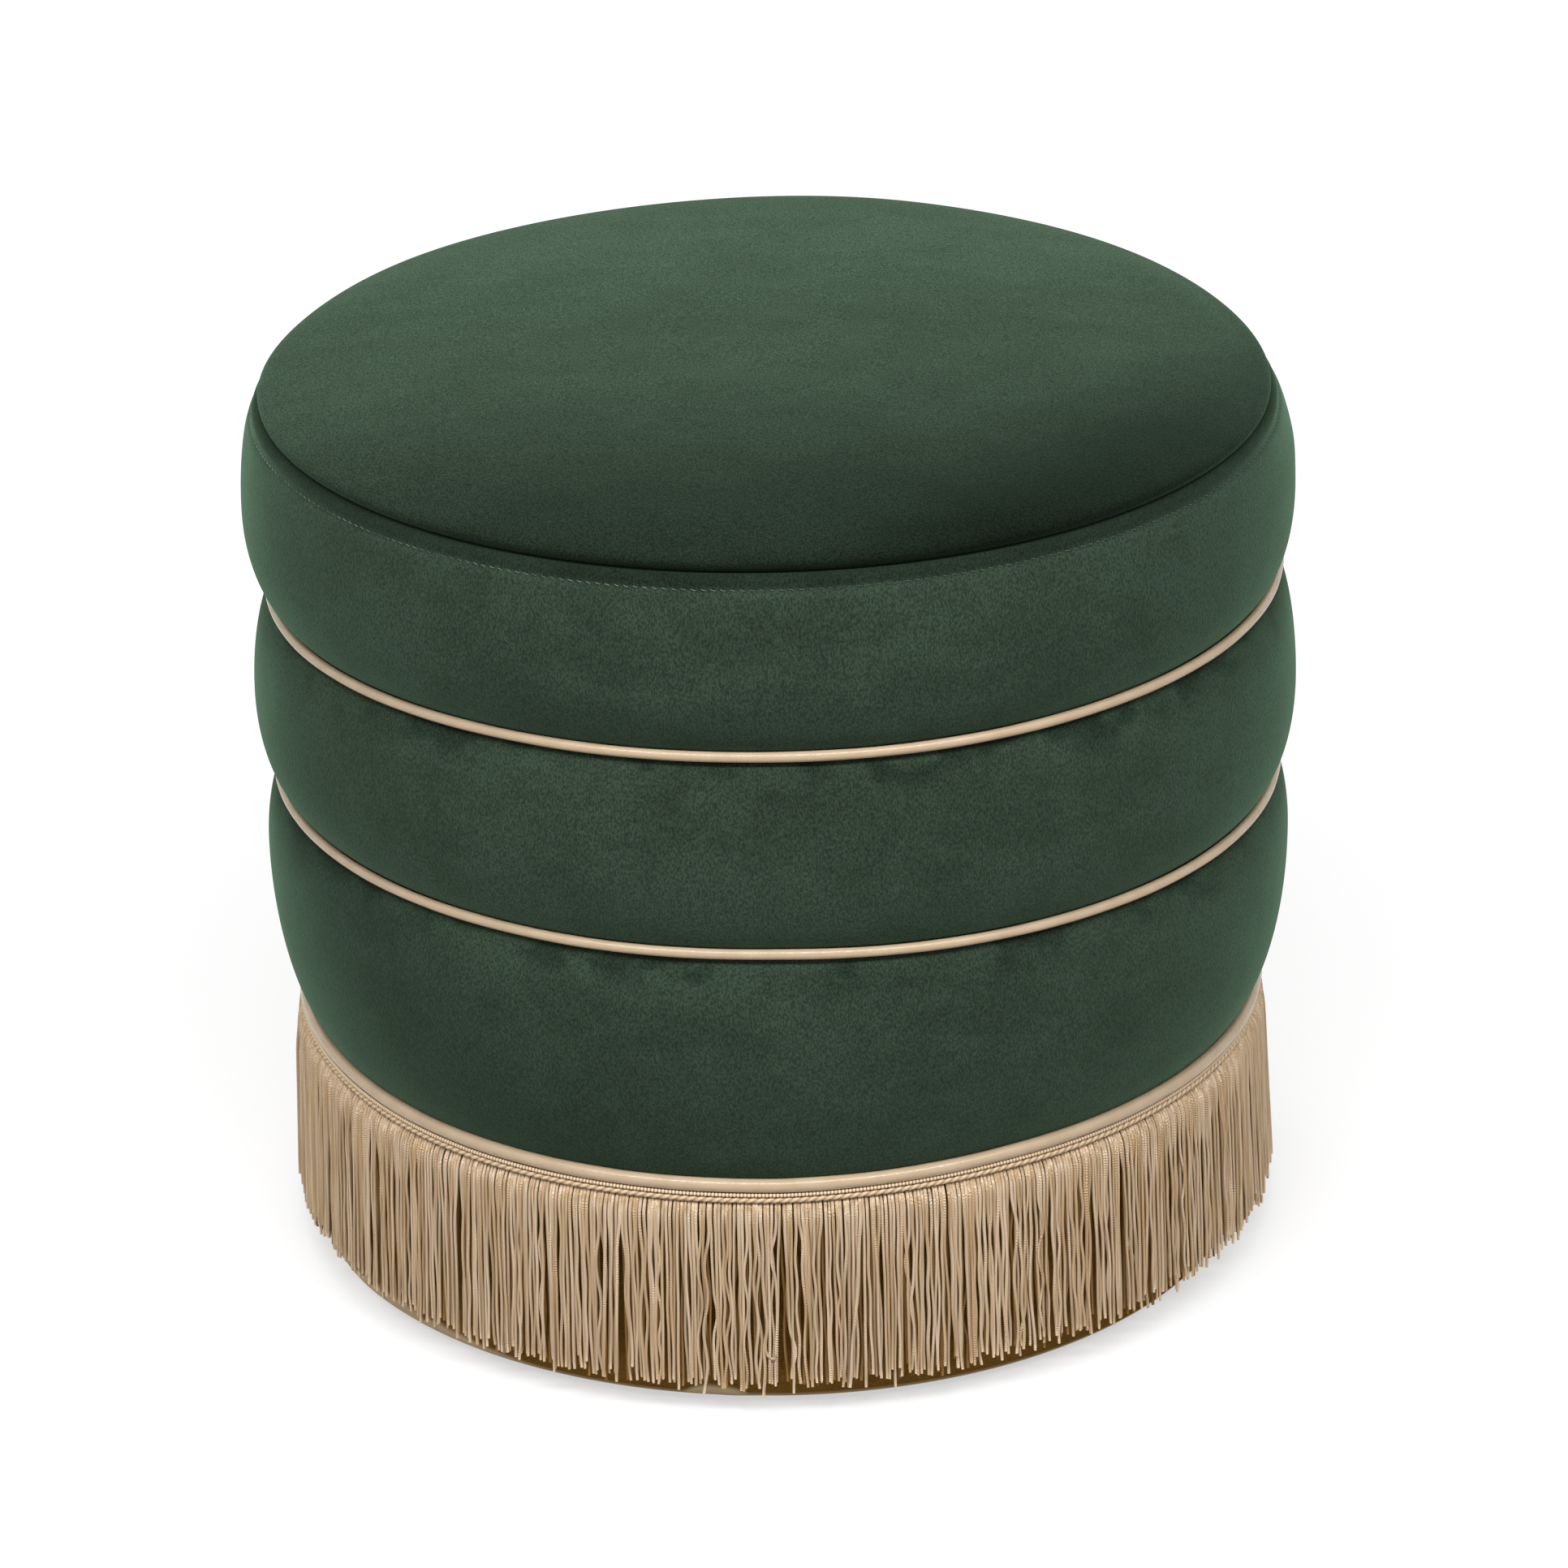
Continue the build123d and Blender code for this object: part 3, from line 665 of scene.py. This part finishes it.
def row_of(name, centre, height, count, sides, thick):
    """Closed cord round the piece, whose thickness varies with place and side; its lay holds the thickness"""
    angles = math.pi / 2 + np.arange(count) * 2 * math.pi / count
    turns = np.arange(sides) * 2 * math.pi / sides
    wide = thick(angles[:, None], turns[None, :])
    r = centre + wide * np.cos(turns)
    z = height - wide * np.sin(turns)
    grid = np.stack([r * np.cos(angles)[:, None], r * np.sin(angles)[:, None], z], axis=-1)
    hand_sewn(grid)
    piece = skin(name, grid, heading_yarn)
    depth = np.stack([0 * wide, (wide - wide.min()) * mm], axis=-1).reshape(-1, 2)
    corners = np.zeros(len(piece.data.loops), int)
    piece.data.loops.foreach_get("vertex_index", corners)
    piece.data.uv_layers.new(name="lay").data.foreach_set("uv", depth[corners].ravel())
    return piece


def two_ply(angle, turn):
    """Thickness of the twisted cord, whose two plies wind round each other"""
    return 1.2 * (0.72 + 0.30 * np.abs(np.cos(turn + 184 * angle)) ** 0.7)


def beads(angle, turn):
    """Thickness of the row of chain stitches, one bead after another"""
    return 0.50 + 0.45 * np.abs(np.cos(440 * angle)) ** 0.6 + 0 * turn


rope_row = row_of("fringe_rope", 210.7, 100.5, 4416, 12, two_ply)
chain_row = row_of("fringe_chain", 211.0, 102.9, 5280, 8, beads)
for piece in (rope_row, chain_row):
    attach(piece, "root")
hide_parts("fringe_braid")

# Fringe
# 1344 two-ply beige cords, about 1.4 mm thick, that leave the heading side by side, bend over and hang
# almost to the floor: 840 in front and 504 behind, of the same yarn but coloured darker as painted shade in
# the gaps. They bunch a little, so that gaps open lower down, their tips are uneven, and one is curled at its
# end.
cord_level = 96.0


def yarn(name, dark, pale):
    """Twisted cord: each has its own tone and its plies wind round it; the hollows between the plies are
    painted darker as shade, and the crown under the heading is painted lighter as a highlight
    """
    made, shader, place = material(name, {"Roughness": 0.55, "Specular IOR Level": 0.0}, uv=True)
    along = place.axis("X")
    around = place.axis("Y")
    body = place.node("ShaderNodeTexCoord", {}, {}, out="Object")
    strand = body.noise(420.0, (1, 1, 0.02), 1.0)
    ply = (along * (2 * math.pi / 0.0011) + around * (2 * math.pi / 0.0060) + strand * 60.0).sine()
    # Painted shade in the hollows between plies, and a painted highlight on the first 9 to 16 mm, the crown
    tone = strand.ramp(0.3, 0.7) * 0.6 + ply.ramp(-1, 1) * 0.25 + along.ramp(0.009, 0.016, 0.1, 0.0)
    tone.mix(dark, pale).plug(shader["Base Color"])
    ply.bump(0.0003, 0.7).plug(shader["Normal"])
    return made


def hang(count, shoulder, seed):
    """Centre lines of one row of cords, which leave the heading evenly and hang in loose bunches"""
    ring = 213
    root = 99.1
    elbow = 90.3
    chance = np.random.default_rng(seed)
    pitch = 2 * math.pi / count
    home = (np.arange(count) + 0.5 + chance.normal(0, 0.12, count)) * pitch
    bunch = np.repeat(np.arange(count), chance.integers(2, 8, count))[:count]
    middle = np.array([home[bunch == b].mean() for b in range(bunch.max() + 1)])[bunch]
    start = chance.uniform(1, 9, count)[bunch][:, None]
    span = chance.uniform(10, 30, count)[bunch][:, None]
    pull = chance.uniform(0.05, 0.30, count)[bunch][:, None]
    tip = np.clip(15 + chance.normal(0, 2.2, count), 9, 21)[:, None]
    tip += lower_seam_rise(ring * np.cos(home))[:, None]
    bend = np.radians(np.linspace(90, 0, 8))
    drop = np.linspace(0, 1, 21)[1:]
    hanging = elbow - drop[None, :] * (elbow - tip)
    ones = np.ones((count, 1))
    bent = elbow + (root - elbow) * np.sin(bend)
    heights = np.concatenate([root * ones, ones * bent, hanging], axis=1)
    fall = cord_level - np.minimum(heights, cord_level)
    share = fall / (cord_level - tip)
    squeeze = np.clip((fall - start) / span, 0, 1)
    squeeze = squeeze * squeeze * (3 - 2 * squeeze) * pull
    sway = (middle - home)[:, None] * ring * squeeze
    sway += chance.normal(0, 0.7, count)[bunch][:, None] * share**1.5
    sway += chance.normal(0, 0.5, count)[:, None] * share**1.7
    kink_fall = chance.uniform(15, 75, count)[:, None]
    kink = chance.normal(0, 1.1, count)[:, None] * (chance.uniform(0, 1, count) < 0.18)[:, None]
    sway += kink * np.exp(-(((fall - kink_fall) / 7) ** 2))
    stray = (chance.uniform(0, 1, count) < 0.035)[:, None]
    sway += stray * chance.normal(0, 2.6, count)[:, None] * share**1.4
    wave = chance.uniform(22, 60, count)[:, None]
    phase = chance.uniform(0, 2 * math.pi, count)[:, None]
    weight = chance.normal(0, 0.40, count)[:, None] * np.minimum(1, fall / 25)
    sway += weight * np.sin(2 * math.pi * fall / wave + phase)
    arch = np.concatenate([[-7.5], 5.0 * np.cos(bend) - 5.0, np.zeros(len(drop))])
    radius = shoulder + arch * ones
    layer = (np.arange(count) % 2 * 2 - 1)[:, None]
    flare = 2.3 + 1.6 * np.clip(np.cos(home), 0, 1)[:, None] ** 2
    radius += flare * share + layer * 2.4 * squeeze + stray * 1.2 * np.minimum(1, fall / 20)
    radius += chance.normal(0, 0.35, count)[:, None] * share
    angle = home[:, None] + sway / ring
    paths = np.stack([radius * np.cos(angle), radius * np.sin(angle), heights], axis=-1)
    hand_sewn(paths)
    return paths


cord_yarn = yarn("fringe_cord", (0.61, 0.40, 0.205, 1), (0.97, 0.78, 0.58, 1))
# Painted shade: the same yarn as the front cords, coloured darker
shaded_inner_yarn = yarn("fringe_cord_inner_shaded", (0.33, 0.17, 0.05, 1), (0.58, 0.35, 0.14, 1))
front = hang(840, 212.7, 51)
curl_right = [0.0, -0.7, -1.1, -1.0, -0.2, 1.1, 2.6, 3.6]
curl_height = [41.2, 38.0, 34.8, 31.8, 29.6, 28.4, 28.4, 30.2]
curled_cord = 624
curled = front[curled_cord, -len(curl_right) :]
curled[:, 0] = curled[0, 0] + curl_right
curled[:, 1] -= np.linspace(0.3, 1.8, len(curl_right))
curled[:, 2] = curl_height
rows = {
    "fringe": (front, cord_yarn),
    "fringe_inner": (hang(504, 210.2, 52), shaded_inner_yarn),
}
chance = np.random.default_rng(53)
panels = 12
for name, (row, made) in rows.items():
    for number in range(panels):
        share = len(row) // panels
        paths = row[number * share : number * share + share]
        below = np.clip(cord_level - paths[:, :, 2], 0, None)
        thick = (0.68 + 0.10 * np.exp(-below / 8)) * (1 + chance.normal(0, 0.07, share))[:, None]
        thick[:, -1] *= 0.88
        rings = np.linalg.norm(np.diff(paths, axis=1), axis=2).mean(axis=0).cumsum()
        lay = (np.concatenate([[0], rings]), np.linspace(0, 6.0, 7))
        grid = tube(paths, thick, 6)
        piece = skin(f"{name}_{number + 1}", grid, made, round_rows=False, lay=lay, caps=True)
        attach(piece, "root")
for number in range(panels):
    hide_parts(f"fringe_panel_{number + 1}")

# Dust cloth
# Round of black non-woven cloth, 372 mm across, that keeps dust out of the drum.
# It is stapled flat under the base board, over the lining's hem.
black_cloth, shader, place = material("black_dust_cloth", {"Roughness": 0.95, "Specular IOR Level": 0.1})
fibre = place.noise(700.0, detail=4.0)
fibre.mix((0.012, 0.012, 0.013, 1), (0.035, 0.035, 0.036, 1)).plug(shader["Base Color"])
fibre.bump(0.0003).plug(shader["Normal"])
radii = np.linspace(2, 186, 24)
profile = [(r, 3.05) for r in radii] + [(r, 3.42) for r in radii[::-1]]
grid = turned(profile, 120)
grid[:, :, 2] -= 0.25 * (0.5 + 0.5 * np.sin(grid[:, :, 0] / 19) * np.sin(grid[:, :, 1] / 23))
dust_cloth = skin("dust_cloth_sheet", grid, black_cloth)
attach(dust_cloth, "root")
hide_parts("dust_cloth")

# Floor glides
# Six brown-black plastic discs, 22 mm across and 3 mm high.
# Each is nailed through the dust cloth into the base board.
constants = {"Base Color": (0.05, 0.045, 0.04, 1), "Roughness": 0.5}
plastic = material("glide_plastic", constants)[0]
paint(plastic, "floor_glides")

# Floor, light and camera
# A white floor and a white world, a soft box above and behind, and a wide strip box above and in front.
# The camera stands where the photograph was taken from, with its slight roll.
paper, shader, place = material("white_floor", {"Roughness": 1.0, "Specular IOR Level": 0.0})
shader["Base Color"].default_value = (0.42, 0.42, 0.42, 1)
shader["Emission Strength"].default_value = 1.0
seen = place.node("ShaderNodeLightPath", {}, {}, out="Is Camera Ray")
seen = seen + place.node("ShaderNodeLightPath", {}, {}, out="Is Glossy Ray")
seen = seen + place.node("ShaderNodeLightPath", {}, {}, out="Is Transmission Ray")
seen.mix((0, 0, 0, 1), (0.56, 0.56, 0.56, 1)).plug(shader["Emission Color"])
floor_mesh = bpy.data.meshes.new("floor")
half = 8
corners = [(-half, -half, 0), (half, -half, 0), (half, half, 0), (-half, half, 0)]
floor_mesh.from_pydata(corners, [], [(0, 1, 2, 3)])
floor_mesh.materials.append(paper)
floor = bpy.data.objects.new("floor", floor_mesh)
bpy.context.scene.collection.objects.link(floor)
floor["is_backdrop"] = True

world = bpy.data.worlds.new("studio")
bpy.context.scene.world = world
world.use_nodes = True
tree = world.node_tree
sky = tree.nodes["Background"]
rays = tree.nodes.new("ShaderNodeLightPath").outputs
seen = Wire(tree, rays["Is Camera Ray"]) + Wire(tree, rays["Is Glossy Ray"])
seen = seen + Wire(tree, rays["Is Transmission Ray"])
seen.mix((0.32, 0.32, 0.32, 1), (1, 1, 1, 1)).plug(sky.inputs["Color"])


def soft_box(name, place, target, width, depth, power):
    """Area light that faces a point"""
    lamp = bpy.data.lights.new(name, "AREA")
    lamp.shape = "RECTANGLE"
    lamp.size = width
    lamp.size_y = depth
    lamp.energy = power
    made = bpy.data.objects.new(name, lamp)
    made.location = place
    made.rotation_euler = (Vector(target) - Vector(place)).to_track_quat("-Z", "Y").to_euler()
    bpy.context.scene.collection.objects.link(made)


soft_box("key", (-0.3, 1.9, 2.2), (0, 0, 0.3), 2.2, 2.2, 36)
soft_box("front", (0, -1.6, 2.6), (0, 0, 0.25), 3.9, 0.55, 114)

pitch = math.radians(24.12)
yaw = math.radians(0.07)
roll = math.radians(-1.21)
ahead = Vector((math.sin(yaw) * math.cos(pitch), math.cos(yaw) * math.cos(pitch), -math.sin(pitch)))
right = ahead.cross(Vector((0, 0, 1))).normalized()
up = right.cross(ahead)
right, up = math.cos(roll) * right + math.sin(roll) * up, math.cos(roll) * up - math.sin(roll) * right
stand = Vector((0, -2.75495, 1.42894))
camera = bpy.data.objects.new("camera", bpy.data.cameras.new("camera"))
camera.data.sensor_width = 36
camera.data.lens = 158.4
camera.matrix_world = Matrix(
    (
        (right.x, up.x, -ahead.x, stand.x),
        (right.y, up.y, -ahead.y, stand.y),
        (right.z, up.z, -ahead.z, stand.z),
        (0, 0, 0, 1),
    )
)
bpy.context.scene.collection.objects.link(camera)
bpy.context.scene.camera = camera
bpy.context.scene.view_settings.view_transform = "Standard"

sizes = {"cad": cad_bounds, "visual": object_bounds()}
